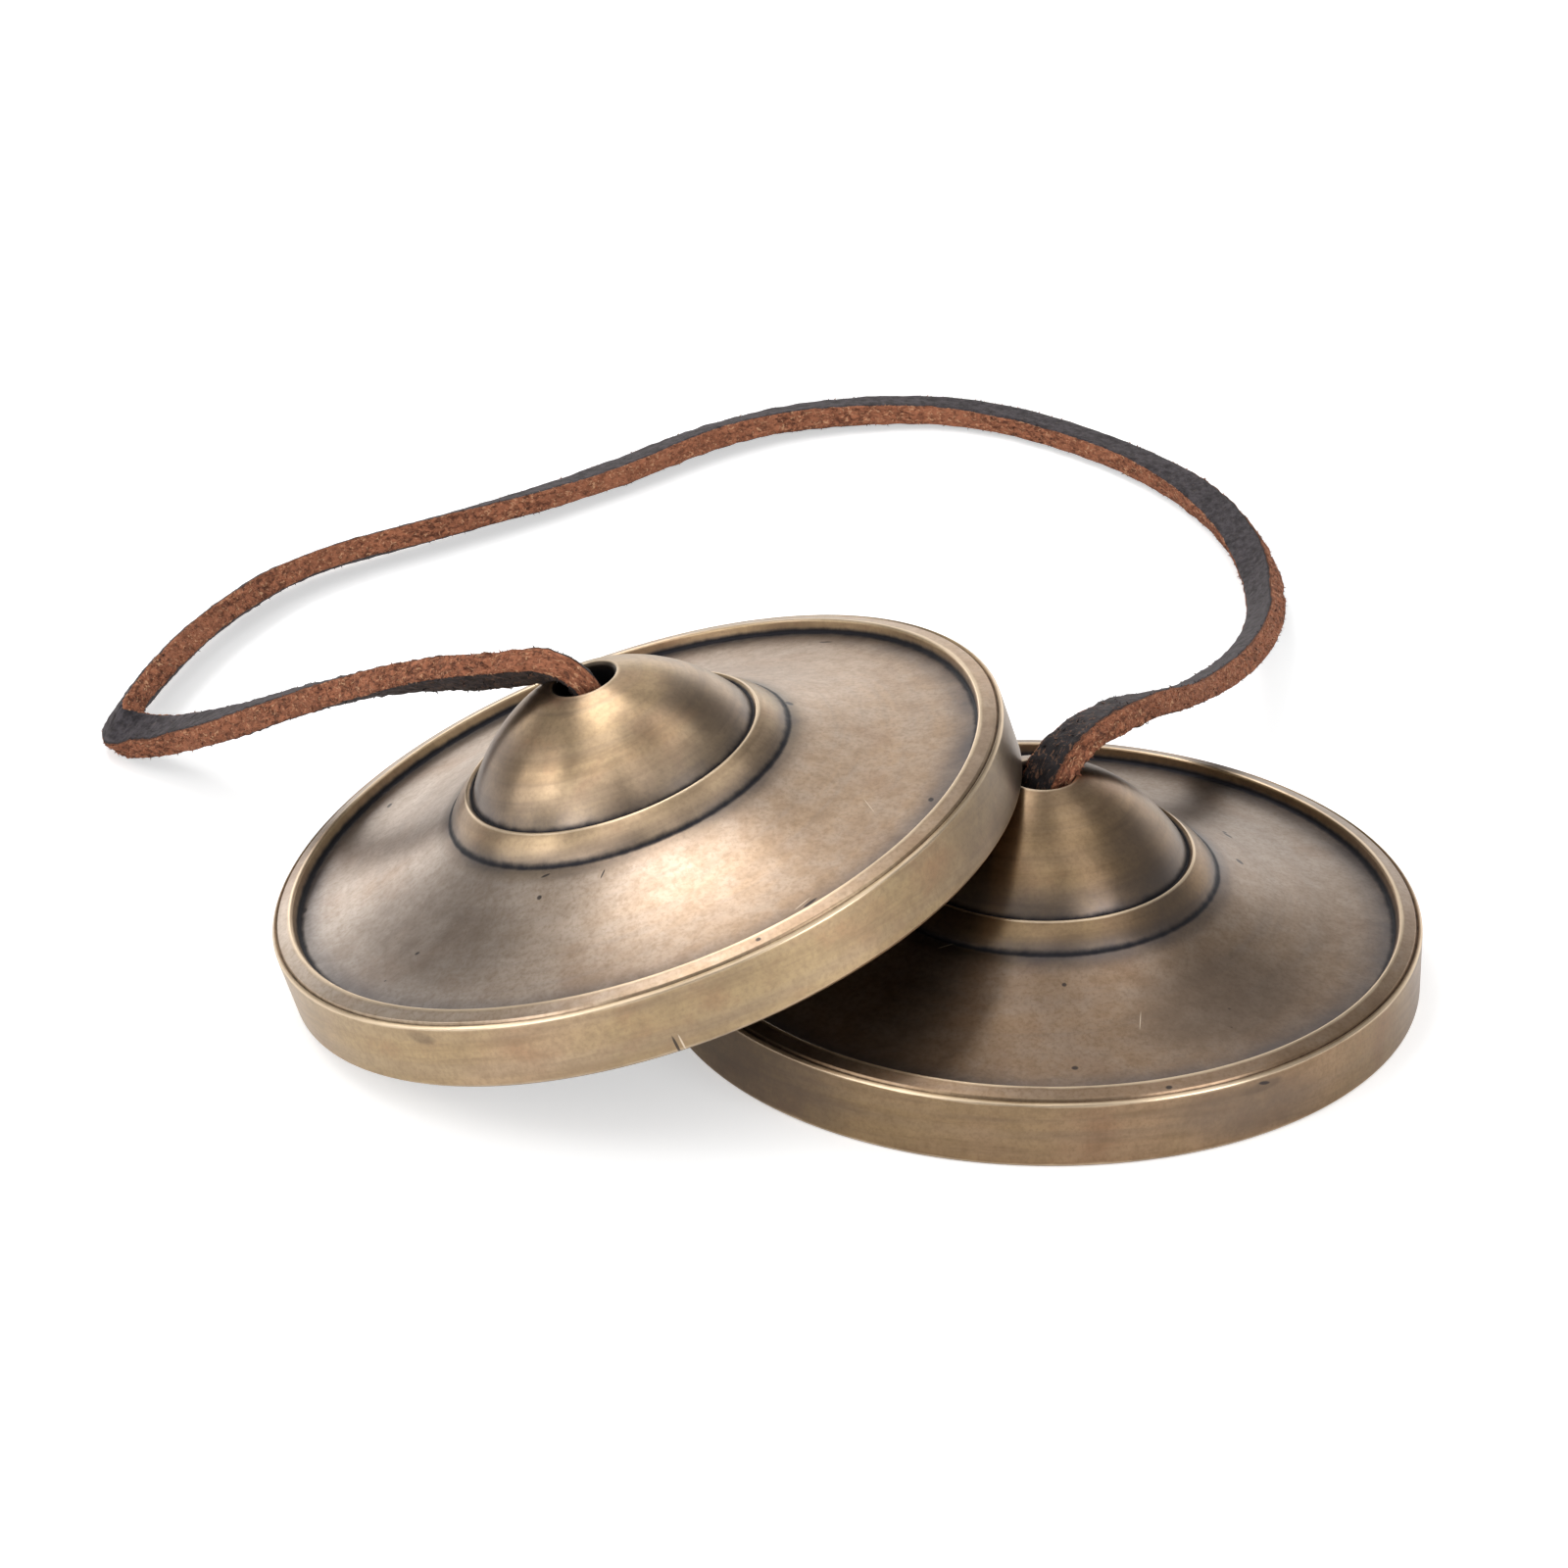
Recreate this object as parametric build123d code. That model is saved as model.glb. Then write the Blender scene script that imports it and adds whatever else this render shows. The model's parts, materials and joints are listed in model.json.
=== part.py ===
"""A pair of tingsha cymbals on one leather thong, laid down as after playing.

One cymbal lies flat on the table. The other leans on it: its left edge stands on the table and
its right edge rests on the first one's dome, beside the hole. The thong comes out of both domes,
lies on the table behind the pair and is held inside each dome by a knot.

Millimetres, +Z up. The origin is on the table under the middle of the two cymbals together.
"""
import math
import os

from build123d import *

# Cymbal, as turned from one casting
CYMBAL_DIAMETER = 65.0
CYMBAL_HEIGHT = 19.2
RIM_HEIGHT = 6.0
RIM_FOOT_WIDTH = 3.3
LIP_WIDTH = 2.05
LIP_RISE = 0.55
LIP_STEP = 1.15
COLLAR_DIAMETER = 30.0
COLLAR_FOOT_HEIGHT = 10.05
COLLAR_WIDTH = 2.05
COLLAR_HEIGHT = 2.05
DOME_DIAMETER = 24.9
HOLE_DIAMETER = 5.2
BOW_WALL = 2.4
DOME_WALL = 2.2
BOW_SAG = 0.75
DOME_BULGE = 1.12
EDGE_BREAK = 0.3
SCRIBE_DEPTH = 0.2
SCRIBE_WIDTH = 0.3

# Thong and its knots; the flat lace is drawn as a round one
THONG_DIAMETER = 3.0
THONG_MOUTH_BEND = 2.6
THONG_MOUTH_RISE = 1.8
KNOT_DIAMETER = 9.2
KNOT_BODY_HEIGHT = 6.6
KNOT_TAIL = 2.6

# Room between pieces that touch or move on each other
REST_GAP = 0.25
KNOT_GAP = 0.3
RIM_TO_THONG = 0.2

# The thong's way from the leaning cymbal to the flat one. Each point is measured from the flat
# cymbal's axis: right and back in cymbal radii, up in cymbal heights. Without a height it lies
# on the table.
THONG_LAY = [
    (-1.426, 0.148, 1.375),
    (-1.599, 0.362, 1.182),
    (-1.780, 0.560, 0.966),
    (-1.970, 0.765, 0.714),
    (-2.165, 0.972, 0.427),
    (-2.368, 1.151, 0.198),
    (-2.537, 1.262, None),
    (-2.485, 1.518, None),
    (-2.356, 1.923, None),
    (-2.119, 2.354, None),
    (-1.682, 2.646, None),
    (-1.248, 2.972, None),
    (-0.879, 3.338, None),
    (-0.513, 3.529, None),
    (-0.046, 3.549, None),
    (0.423, 3.178, None),
    (0.683, 2.714, None),
    (0.760, 2.098, None),
    (0.640, 1.422, 0.378),
    (0.417, 0.800, 0.685),
    (0.243, 0.354, 1.031),
]

cymbal_r = CYMBAL_DIAMETER / 2
hole_r = HOLE_DIAMETER / 2
collar_r = COLLAR_DIAMETER / 2
dome_r = DOME_DIAMETER / 2
thong_r = THONG_DIAMETER / 2
knot_r = KNOT_DIAMETER / 2


def beside_chord(start, end, out):
    """The middle of a chord in (radius, height), moved out from the cymbal by `out`."""
    run = end[0] - start[0]
    rise = end[1] - start[1]
    length = math.hypot(run, rise)
    side = 1 if run < 0 else -1
    return (
        (start[0] + end[0]) / 2 + side * rise / length * out,
        (start[1] + end[1]) / 2 - side * run / length * out,
    )


# Outline of the cymbal's upper side, from the rim to the hole
lip_inner = cymbal_r - LIP_WIDTH
lip_top = RIM_HEIGHT + LIP_RISE
bow_rim = (lip_inner - EDGE_BREAK, lip_top - LIP_STEP)
bow_collar = (collar_r + EDGE_BREAK, COLLAR_FOOT_HEIGHT - EDGE_BREAK / 2)
collar_foot = (collar_r, COLLAR_FOOT_HEIGHT)
collar_edge = (collar_r - COLLAR_WIDTH, COLLAR_FOOT_HEIGHT + COLLAR_HEIGHT)
dome_foot = (dome_r, collar_edge[1] - EDGE_BREAK)
hole_edge = (hole_r + EDGE_BREAK, CYMBAL_HEIGHT)
hole_top = (hole_r, CYMBAL_HEIGHT - EDGE_BREAK)

# Outline of the hollow underside, from the hole to the rim's foot
hole_foot = (hole_r, CYMBAL_HEIGHT - DOME_WALL)
hollow_top = (hole_r + EDGE_BREAK, CYMBAL_HEIGHT - DOME_WALL - EDGE_BREAK)
hollow_dome = (dome_r - DOME_WALL, dome_foot[1] - 0.7 * DOME_WALL)
hollow_collar = (collar_r - 0.4, COLLAR_FOOT_HEIGHT - BOW_WALL - 0.3)
foot_inner = cymbal_r - RIM_FOOT_WIDTH
hollow_rim = (foot_inner - 1.6, bow_rim[1] - BOW_WALL)
foot_wall = (foot_inner - EDGE_BREAK, 0.5 * hollow_rim[1])

# Line scribed round the rim, between its outer edge and the rising lip
scribe_outer = (cymbal_r - EDGE_BREAK, RIM_HEIGHT)
lip_edge = (lip_inner + EDGE_BREAK / 2, lip_top)
lip_slope = LIP_RISE / (scribe_outer[0] - lip_edge[0])
scribe_bottom = (scribe_outer[0] - SCRIBE_WIDTH / 2, RIM_HEIGHT - SCRIBE_DEPTH)
scribe_inner = (scribe_outer[0] - SCRIBE_WIDTH, RIM_HEIGHT + lip_slope * SCRIBE_WIDTH)

with BuildSketch(Plane.XZ) as section:
    with BuildLine():
        Polyline(
            (foot_inner, 0),
            (cymbal_r - EDGE_BREAK, 0),
            (cymbal_r, EDGE_BREAK),
            (cymbal_r, RIM_HEIGHT - EDGE_BREAK),
            scribe_outer,
            scribe_bottom,
            scribe_inner,
            lip_edge,
            (lip_inner, lip_top - EDGE_BREAK / 2),
            bow_rim,
        )
        ThreePointArc(bow_rim, beside_chord(bow_rim, bow_collar, -BOW_SAG), bow_collar)
        Polyline(
            bow_collar,
            collar_foot,
            collar_edge,
            (collar_edge[0] - EDGE_BREAK / 2, collar_edge[1]),
            dome_foot,
        )
        ThreePointArc(dome_foot, beside_chord(dome_foot, hole_edge, DOME_BULGE), hole_edge)
        Polyline(hole_edge, hole_top, hole_foot, hollow_top)
        ThreePointArc(
            hollow_top,
            beside_chord(hollow_dome, hollow_top, 0.9 * DOME_BULGE),
            hollow_dome,
        )
        Line(hollow_dome, hollow_collar)
        ThreePointArc(
            hollow_collar,
            beside_chord(hollow_rim, hollow_collar, -0.8 * BOW_SAG),
            hollow_rim,
        )
        Polyline(hollow_rim, foot_wall, (foot_inner - EDGE_BREAK, EDGE_BREAK), (foot_inner, 0))
    make_face()
cymbal = revolve(section.sketch, Axis.Z)

# Knot under the dome, drawn up against it, with the cut end of the thong below
slope_run = hollow_dome[0] - hollow_top[0]
slope_drop = hollow_top[1] - hollow_dome[1]
slope_length = math.hypot(slope_run, slope_drop)
knot_top = (
    hollow_top[0] - KNOT_GAP * slope_drop / slope_length,
    hollow_top[1] - KNOT_GAP * slope_run / slope_length,
)
knot_shoulder = (knot_r, knot_top[1] - (knot_r - knot_top[0]) * slope_drop / slope_run)
knot_bottom = knot_top[1] - KNOT_BODY_HEIGHT
knot_low_side = (knot_r, 0.5 * (knot_shoulder[1] + knot_bottom))
knot_foot = (0.55 * knot_r, knot_bottom)
tail_end = knot_bottom - KNOT_TAIL

with BuildSketch(Plane.XZ) as knot_section:
    with BuildLine():
        Polyline((0, tail_end), (thong_r, tail_end), (thong_r, knot_bottom), knot_foot)
        ThreePointArc(
            knot_foot,
            beside_chord(knot_low_side, knot_foot, -0.5),
            knot_low_side,
        )
        Polyline(knot_low_side, knot_shoulder, knot_top, (0, knot_top[1]), (0, tail_end))
    make_face()
knot = revolve(knot_section.sketch, Axis.Z)

# How far the second cymbal leans: its flat foot passes just over the edge of the first one's hole
foot_r = cymbal_r - EDGE_BREAK
rest_r = hole_r + EDGE_BREAK
rim_end_x = -(thong_r + RIM_TO_THONG)
past_rest = rest_r + rim_end_x - 0.65 * EDGE_BREAK
lean = math.asin((CYMBAL_HEIGHT + REST_GAP) / (2 * foot_r - past_rest))
foot_end_x = rim_end_x - EDGE_BREAK * (math.cos(lean) - math.sin(lean))
stand_x = foot_end_x - 2 * foot_r * math.cos(lean)
leaned_x = stand_x + foot_r * math.cos(lean)

# The lower cymbal's axis is this far right of the origin, so that the pair's box is centred on it
leftmost = leaned_x - cymbal_r * math.cos(lean) - (RIM_HEIGHT - EDGE_BREAK) * math.sin(lean)
axis_x = -(leftmost + cymbal_r) / 2

leaned_place = Pos(axis_x + leaned_x, 0, foot_r * math.sin(lean)) * Rot(0, -math.degrees(lean), 0)
flat_place = Pos(axis_x, 0, 0)


def on_axis(place, height):
    """The point of a placed cymbal's axis that is this far above its foot."""
    return tuple((place * Pos(0, 0, height)).position)


# The thong, from knot to knot
lay = [
    (
        axis_x + right * cymbal_r,
        back * cymbal_r,
        thong_r if up is None else max(up * CYMBAL_HEIGHT, thong_r),
    )
    for right, back, up in THONG_LAY
]
corner = CYMBAL_HEIGHT + THONG_MOUTH_RISE
route = [
    on_axis(leaned_place, knot_top[1]),
    on_axis(leaned_place, corner),
    *lay,
    on_axis(flat_place, corner),
    on_axis(flat_place, knot_top[1]),
]


def bend_radius(before, at, after):
    """The bend at one corner, tangent to both runs a little under half way along the shorter."""
    run_in = Vector(*at) - Vector(*before)
    run_out = Vector(*after) - Vector(*at)
    half_turn = math.radians(run_in.get_angle(run_out)) / 2
    return 0.45 * min(run_in.length, run_out.length) / math.tan(half_turn)


bends = [bend_radius(*route[i - 1 : i + 2]) for i in range(1, len(route) - 1)]
bends[0] = THONG_MOUTH_BEND
bends[-1] = THONG_MOUTH_BEND
path = FilletPolyline(*route, radius=bends)
mouth = Plane(origin=route[0], z_dir=Vector(*route[1]) - Vector(*route[0]))
thong = sweep(mouth * Circle(thong_r), path=path)
print("bends mm", [round(b, 1) for b in bends])
print("thong length mm", round(path.length, 1))
print("thong volume", round(thong.volume, 1), "section by length", round(math.pi * thong_r**2 * path.length, 1))
print("lean deg", round(math.degrees(lean), 3), "lower axis x", round(axis_x, 4))
print("leaning foot centre", [round(v, 4) for v in on_axis(leaned_place, 0)])
print("stands on table at x", round(axis_x + stand_x, 4), "knot top", round(knot_top[1], 4))

pieces = {
    "lower_cymbal": flat_place * cymbal,
    "upper_cymbal": leaned_place * cymbal,
    "thong": thong,
    "lower_knot": flat_place * knot,
    "upper_knot": leaned_place * knot,
}
os.makedirs("parts", exist_ok=True)
for name, piece in pieces.items():
    export_step(piece, f"parts/{name}.step")
    box = piece.bounding_box()
    print(name, round(piece.volume, 1), [round(v, 2) for v in box.min], [round(v, 2) for v in box.max])
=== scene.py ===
"""A pair of tingsha cymbals on a leather thong: the looks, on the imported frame.

Sizes are in millimetres where they are written and become metres through MM.
"""
import json
import math
from types import SimpleNamespace

import bmesh
import bpy
import numpy as np
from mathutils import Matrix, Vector


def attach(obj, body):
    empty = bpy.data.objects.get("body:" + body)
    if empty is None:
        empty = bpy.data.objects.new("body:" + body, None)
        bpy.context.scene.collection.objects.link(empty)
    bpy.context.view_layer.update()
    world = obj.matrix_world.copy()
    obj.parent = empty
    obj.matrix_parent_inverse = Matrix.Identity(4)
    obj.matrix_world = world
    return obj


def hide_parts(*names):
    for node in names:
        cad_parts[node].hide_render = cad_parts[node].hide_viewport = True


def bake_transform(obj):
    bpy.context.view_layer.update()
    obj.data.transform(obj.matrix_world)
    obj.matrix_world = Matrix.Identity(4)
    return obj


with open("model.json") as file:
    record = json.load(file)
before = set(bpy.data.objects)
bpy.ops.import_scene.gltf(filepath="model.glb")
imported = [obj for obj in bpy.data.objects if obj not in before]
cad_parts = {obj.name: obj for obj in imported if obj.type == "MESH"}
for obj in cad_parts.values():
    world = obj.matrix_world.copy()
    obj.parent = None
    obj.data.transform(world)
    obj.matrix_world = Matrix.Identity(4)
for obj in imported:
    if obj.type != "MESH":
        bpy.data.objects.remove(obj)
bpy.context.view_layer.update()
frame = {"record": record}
MM = 0.001

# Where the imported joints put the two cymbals
joints = {j["name"]: j for j in frame["record"]["behaviour"]["joints"]}
LOWER_FOOT = Vector(joints["lower_spin"]["pos_m"])
UPPER_FOOT = Vector(joints["upper_spin"]["pos_m"])
UPPER_AXIS = Vector(joints["upper_spin"]["axis"]).normalized()
LEAN = math.atan2(-UPPER_AXIS.x, UPPER_AXIS.z)
AXIS_X = LOWER_FOOT.x / MM

# Cymbal, with the sizes of the part's source
CYMBAL_R = 32.5
CYMBAL_HEIGHT = 19.2
RIM_HEIGHT = 6.0
RIM_FOOT_WIDTH = 3.3
LIP_WIDTH = 2.05
LIP_RISE = 0.55
LIP_STEP = 1.15
COLLAR_R = 15.0
COLLAR_FOOT_HEIGHT = 10.05
COLLAR_WIDTH = 2.05
COLLAR_HEIGHT = 2.05
COLLAR_BULGE = 0.10
DOME_R = 12.45
DOME_BULGE = 1.12
HOLE_R = 2.6
BOW_WALL = 2.4
BOW_SAG = 0.75
DOME_WALL = 2.2
HOLLOW_DOME_BULGE = 1.0
HOLLOW_BOW_SAG = 0.6
EDGE_BREAK = 0.3
RIM_BREAK = 0.26
FACETS_ROUND = 256
RAIL_RADIUS = 10.0

# Lace: its flat section, and the smaller one it is pulled to in a knot
LACE_WIDTH = 3.9
LACE_THICKNESS = 2.2
KNOT_WIDTH = 3.0
KNOT_THICKNESS = 1.7
KNOT_TOP = 16.47

# Camera at the photograph's angle
CAMERA_AT = (AXIS_X - 21.74, -476.46, 264.67)
CAMERA_DOWN = 27.35
CAMERA_LENS = 146.25
CAMERA_SENSOR = 36.0


# Node helpers

def add_node(tree, kind, **settings):
    """A node with its properties set, and its inputs set from the names in `inputs`."""
    made = tree.nodes.new(kind)
    inputs = settings.pop("inputs", {})
    for key, value in settings.items():
        setattr(made, key, value)
    for key, value in inputs.items():
        made.inputs[key].default_value = value
    return made


def then(tree, source, kind, **settings):
    """A node that takes another node's output on its first input."""
    made = add_node(tree, kind, **settings)
    tree.links.new(source, made.inputs[0])
    return made


def feed(tree, socket, given):
    """Puts a value or another node's output on a socket."""
    if isinstance(given, bpy.types.NodeSocket):
        tree.links.new(given, socket)
    else:
        socket.default_value = given


def sums(tree, operation, first, second=0.0, third=0.0, clamp=False):
    made = add_node(tree, "ShaderNodeMath", operation=operation, use_clamp=clamp)
    for slot, given in enumerate((first, second, third)):
        feed(tree, made.inputs[slot], given)
    return made.outputs[0]


def new_tree(name, result, inputs):
    """A Geometry Nodes tree with one result and these inputs, each a kind and a default."""
    tree = bpy.data.node_groups.new(name, "GeometryNodeTree")
    for label, (kind, default) in inputs.items():
        item = tree.interface.new_socket(name=label, in_out="INPUT", socket_type="NodeSocket" + kind)
        if default is not None:
            item.default_value = default
    tree.interface.new_socket(name=result, in_out="OUTPUT", socket_type="NodeSocketGeometry")
    return tree, tree.links.new, add_node(tree, "NodeGroupInput").outputs


def end_tree(tree, geometry, material):
    """Ends a tree with its geometry real, smooth and of one material."""
    whole = then(tree, geometry, "GeometryNodeRealizeInstances")
    smooth = then(tree, whole.outputs[0], "GeometryNodeSetShadeSmooth")
    finish = then(tree, smooth.outputs[0], "GeometryNodeSetMaterial")
    tree.links.new(material, finish.inputs["Material"])
    then(tree, finish.outputs[0], "NodeGroupOutput")


def run_tree(name, base_mesh, tree, values):
    """The plain mesh that a Geometry Nodes tree makes from a mesh."""
    holder = bpy.data.objects.new(name + "_making", base_mesh)
    bpy.context.scene.collection.objects.link(holder)
    modifier = holder.modifiers.new("Make", "NODES")
    modifier.node_group = tree
    for item in tree.interface.items_tree:
        if item.item_type == "SOCKET" and item.in_out == "INPUT" and item.name in values:
            modifier[item.identifier] = values[item.name]
    holder.update_tag()
    bpy.context.view_layer.update()
    graph = bpy.context.evaluated_depsgraph_get()
    evaluated = holder.evaluated_get(graph)
    mesh = bpy.data.meshes.new_from_object(evaluated, preserve_all_data_layers=True, depsgraph=graph)
    mesh.name = name
    holder.modifiers.clear()
    bpy.data.objects.remove(holder)
    return mesh


def place(name, mesh):
    piece = bpy.data.objects.new(name, mesh)
    bpy.context.scene.collection.objects.link(piece)
    return piece


def face_outwards(mesh):
    """Turns a closed mesh right side out."""
    work = bmesh.new()
    work.from_mesh(mesh)
    if work.calc_volume(signed=True) < 0:
        bmesh.ops.reverse_faces(work, faces=work.faces)
    work.to_mesh(mesh)
    work.free()


def give_values(mesh, values_by_name):
    """Stores one number per point for each named attribute."""
    for name, values in values_by_name.items():
        mesh.attributes.new(name, "FLOAT", "POINT").data.foreach_set("value", values.astype(np.float32))


# Turned section of a cymbal, as (radius, height)

LIP_INNER = CYMBAL_R - LIP_WIDTH
LIP_TOP = RIM_HEIGHT + LIP_RISE
LIP_EDGE = (LIP_INNER + 0.17, LIP_TOP)
SCRIBED_LINE = (CYMBAL_R - 0.45, RIM_HEIGHT - 0.20)
SCRIBED_INNER = (CYMBAL_R - 0.60, RIM_HEIGHT + 0.11)
BOW_RIM = (LIP_INNER - EDGE_BREAK, LIP_TOP - LIP_STEP)
BOW_COLLAR = (COLLAR_R + EDGE_BREAK, COLLAR_FOOT_HEIGHT - EDGE_BREAK / 2)
COLLAR_FOOT = (COLLAR_R, COLLAR_FOOT_HEIGHT)
COLLAR_EDGE = (COLLAR_R - COLLAR_WIDTH, COLLAR_FOOT_HEIGHT + COLLAR_HEIGHT)
DOME_FOOT = (DOME_R, COLLAR_EDGE[1] - EDGE_BREAK)
HOLE_EDGE = (HOLE_R + EDGE_BREAK, CYMBAL_HEIGHT)
HOLE_FOOT = (HOLE_R, CYMBAL_HEIGHT - DOME_WALL)
HOLLOW_TOP = (HOLE_R + EDGE_BREAK, HOLE_FOOT[1] - EDGE_BREAK)
HOLLOW_DOME = (DOME_R - DOME_WALL, DOME_FOOT[1] - 0.7 * DOME_WALL)
HOLLOW_COLLAR = (COLLAR_R - 0.4, COLLAR_FOOT_HEIGHT - BOW_WALL - 0.3)
FOOT_INNER = CYMBAL_R - RIM_FOOT_WIDTH
FOOT_WALL_R = FOOT_INNER - EDGE_BREAK
HOLLOW_RIM = (FOOT_INNER - 1.6, BOW_RIM[1] - BOW_WALL)

# How finely the section is divided
SECTION_STEP = 0.40
FOOT_STEP = 3 * SECTION_STEP
FOOT_BELOW = 0.2
EASE_STEPS = (0.0, 0.22, 0.5, 0.78, 1.0)
EASE_SHARE = 0.45
LEAST_EASE = 0.004


def arc_between(start, end, out, count):
    """The uneased points between two ends, on the arc whose middle stands `out` from their chord."""
    start, end = np.array(start), np.array(end)
    run = end - start
    length = np.linalg.norm(run)
    side = 1 if run[0] < 0 else -1
    outward = side * np.array([run[1], -run[0]]) / length
    radius = (length * length / 4 + out * out) / (2 * abs(out))
    centre = (start + end) / 2 + outward * (out - math.copysign(radius, out))
    first = math.atan2(*(start - centre)[::-1])
    last = math.atan2(*(end - centre)[::-1])
    turn = (last - first + math.pi) % (2 * math.pi) - math.pi
    angles = first + turn * np.linspace(0, 1, count)[1:-1]
    return [(*(centre + radius * np.array([math.cos(a), math.sin(a)])), 0.0) for a in angles]


def eased(corners):
    """A closed outline with each corner rounded by its own radius and long runs divided."""
    outline = []
    for i, (r, z, ease) in enumerate(corners):
        here = np.array([r, z])
        before = np.array(corners[i - 1][:2]) - here
        after = np.array(corners[(i + 1) % len(corners)][:2]) - here
        back, ahead = np.linalg.norm(before), np.linalg.norm(after)
        reach = min(ease, EASE_SHARE * back, EASE_SHARE * ahead)
        if reach < LEAST_EASE:
            outline.append(here)
            continue
        a, b = here + before / back * reach, here + after / ahead * reach
        for t in EASE_STEPS:
            outline.append((1 - t) ** 2 * a + 2 * t * (1 - t) * here + t * t * b)
    closed = []
    for i, point in enumerate(outline):
        ahead = outline[(i + 1) % len(outline)]
        step = SECTION_STEP if min(point[1], ahead[1]) > FOOT_BELOW else FOOT_STEP
        parts = max(1, math.ceil(np.linalg.norm(ahead - point) / step))
        closed += [point + (ahead - point) * k / parts for k in range(parts)]
    return np.array(closed)


def cymbal_corners():
    """The half section: each corner's radius, height and easing, from the rim's foot over the upper side,
    through the hole and back underneath.
    """
    return [
        (FOOT_INNER, 0.0, 0.12),
        (CYMBAL_R - EDGE_BREAK, 0.0, 0.10),
        (CYMBAL_R, EDGE_BREAK, 0.12),
        (CYMBAL_R, RIM_HEIGHT - RIM_BREAK, 0.10),
        (CYMBAL_R - RIM_BREAK, RIM_HEIGHT, 0.07),
        (*SCRIBED_LINE, 0.04),
        (*SCRIBED_INNER, 0.06),
        (*LIP_EDGE, 0.10),
        (LIP_INNER, LIP_TOP - EDGE_BREAK / 2, 0.08),
        (*BOW_RIM, 0.30),
        *arc_between(BOW_RIM, BOW_COLLAR, -BOW_SAG, 34),
        (*BOW_COLLAR, 0.20),
        (*COLLAR_FOOT, 0.06),
        *arc_between(COLLAR_FOOT, COLLAR_EDGE, COLLAR_BULGE, 7),
        (*COLLAR_EDGE, 0.12),
        (COLLAR_EDGE[0] - EDGE_BREAK / 2, COLLAR_EDGE[1], 0.06),
        (*DOME_FOOT, 0.10),
        *arc_between(DOME_FOOT, HOLE_EDGE, DOME_BULGE, 34),
        (*HOLE_EDGE, 0.15),
        (HOLE_R, CYMBAL_HEIGHT - EDGE_BREAK, 0.15),
        (*HOLE_FOOT, 0.12),
        (*HOLLOW_TOP, 0.12),
        *arc_between(HOLLOW_DOME, HOLLOW_TOP, HOLLOW_DOME_BULGE, 16)[::-1],
        (*HOLLOW_DOME, 0.4),
        (*HOLLOW_COLLAR, 0.7),
        *arc_between(HOLLOW_RIM, HOLLOW_COLLAR, -HOLLOW_BOW_SAG, 20)[::-1],
        (*HOLLOW_RIM, 0.6),
        (FOOT_WALL_R, HOLLOW_RIM[1] / 2, 0.4),
        (FOOT_WALL_R, EDGE_BREAK, 0.12),
    ]


# Marks along the section: dark lines in the grooves and the hole, painted shade beside the grooves,
# partly a dark patina, and edges painted lighter, partly rubbed wear and partly painted highlights. Each
# is a spot, how far the mark reaches from it towards the rim and towards the hole, and its strength
GROOVE_LINES = [
    ((30.22, 5.52), 0.42, 0.45, 1.0),
    ((15.05, 10.02), 0.26, 0.50, 0.90),
    ((12.52, 11.87), 0.14, 0.55, 0.95),
    (SCRIBED_LINE, 0.08, 0.10, 0.62),
    ((HOLE_R, 18.2), 0.6, 3.0, 1.0),
]
# Painted shade beside the grooves, partly a dark patina: at the bow's rim, the collar's foot and the dome's
# foot
PAINTED_GROOVE_SHADE = [
    ((30.00, 5.42), 0.50, 2.20, 0.85),
    ((15.05, 10.02), 1.30, 1.35, 0.85),
    ((12.50, 11.85), 0.15, 2.30, 0.85),
]
# Edges painted lighter: partly rubbed wear, partly painted highlights along them
RUBBED_AND_HIGHLIT_EDGES = [
    ((32.40, 5.88), 0.22, 0.22, 1.0),
    ((30.60, 6.53), 0.24, 0.14, 1.0),
    ((12.92, 12.10), 0.24, 0.12, 1.0),
    (HOLE_EDGE, 0.35, 0.15, 0.7),
    ((32.35, 0.15), 0.20, 0.28, 0.7),
]

# Where the film lies: on the bow, and thinner on the lip. Each is an inner and an outer radius with
# the width over which it fades in and out there.
FILM_ON_BOW = (BOW_COLLAR[0], 1.2, 30.2, 0.4)
FILM_ON_LIP = (30.6, 0.3, 32.1, 0.3)
LIP_FILM = 0.8
LIP_ABOVE = RIM_HEIGHT - 0.3
# Inside this radius the underside is painted near black: partly a dark patina, partly painted shade
UNDERSIDE_R = 29.0


def falloff(outline, spot, width_out, width_in):
    """1 at the outline's point nearest a spot, fading along the outline to each side."""
    near = int(np.argmin(np.linalg.norm(outline - np.array(spot), axis=1)))
    step = np.linalg.norm(np.diff(np.vstack([outline, outline[:1]]), axis=0), axis=1)
    along = np.concatenate([[0], np.cumsum(step)])
    total = along[-1]
    off = (along[:-1] - along[near] + total / 2) % total - total / 2
    width = np.where(off < 0, width_out, width_in)
    return np.exp(-((off / width) ** 2))


def strongest(outline, marks):
    level = np.zeros(len(outline))
    for spot, out, inn, strength in marks:
        level = np.maximum(level, strength * falloff(outline, spot, out, inn))
    return level


def between(radius, inner, fade_in, outer, fade_out):
    """1 between two radii, fading at both."""
    return np.clip((radius - inner) / fade_in, 0, 1) * np.clip((outer - radius) / fade_out, 0, 1)


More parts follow.
